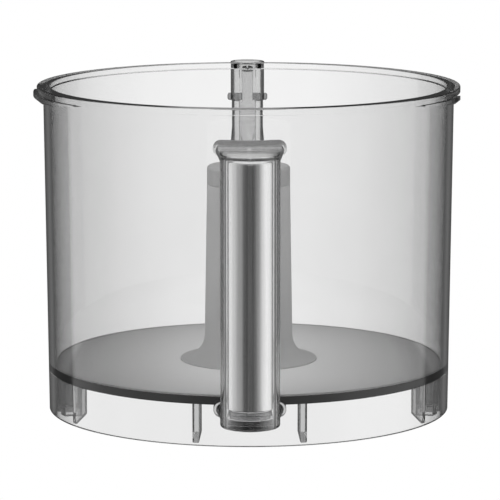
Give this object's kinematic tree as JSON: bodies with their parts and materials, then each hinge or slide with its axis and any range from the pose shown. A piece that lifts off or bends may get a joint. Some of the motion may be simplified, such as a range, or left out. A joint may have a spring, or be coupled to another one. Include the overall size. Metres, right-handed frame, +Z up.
{
  "type": "food processor work bowl",
  "caption": "Clear grey round work bowl with a centre shaft tube, an upright grip with a bright core, a base skirt with lock lugs and a spring-loaded lid interlock rod.",
  "frame": {"origin": "on the bowl's axis, in the plane of the skirt's lower edge", "axes": "+Z up along the bowl's axis; the grip is towards -Y and the interlock tube towards +Y"},
  "size_m": [0.2083, 0.2605, 0.1597],
  "materials": {
    "clear_wall": "clear grey-tinted, polished",
    "frosted": "frosted grey, satin",
    "dark_ring": "dark, satin",
    "clear_skirt": "clear, polished",
    "smoke_lug": "smoky clear, moulded",
    "collar": "pale frosted",
    "clear_grip": "clear, polished",
    "bright_insert": "bright drawn sheet",
    "dark_plug": "smoky, moulded",
    "clear_bridge": "clear grey, moulded",
    "clear_guide": "clear grey, moulded",
    "steel": "ground",
    "pale_rod": "pale, moulded",
    "spring_steel": "drawn wire",
    "washer": "stamped",
    "bush": "natural, moulded"
  },
  "bodies": {
    "bowl": {"bowl_wall": "clear_wall", "bowl_floor": "frosted", "floor_joint_ring": "dark_ring", "base_skirt": "clear_skirt", "base_lock_lugs": "smoke_lug", "centre_tube": "frosted", "centre_tube_foot": "frosted", "tube_collar": "collar", "handle_shell": "clear_grip", "handle_insert": "bright_insert", "handle_end_plug": "dark_plug", "handle_top_bridge": "clear_bridge", "handle_bottom_bridge": "clear_bridge", "interlock_tube": "clear_guide", "interlock_guide_pins": "clear_guide", "interlock_spring": "spring_steel", "interlock_bush": "bush", "interlock_housing": "clear_guide"},
    "interlock_plunger": {"interlock_rod": "pale_rod", "interlock_rod_cap": "pale_rod", "interlock_foot_pin": "steel", "spring_seat_washer": "washer"}
  },
  "joints": [
    {"name": "interlock_press", "type": "slide", "parent": "bowl", "child": "interlock_plunger", "axis": [0, 0, -1], "range_m": [0, 0.008], "stiffness_N_per_m": 180, "springref_m": -0.012, "deforming": ["interlock_spring"]}
  ]
}
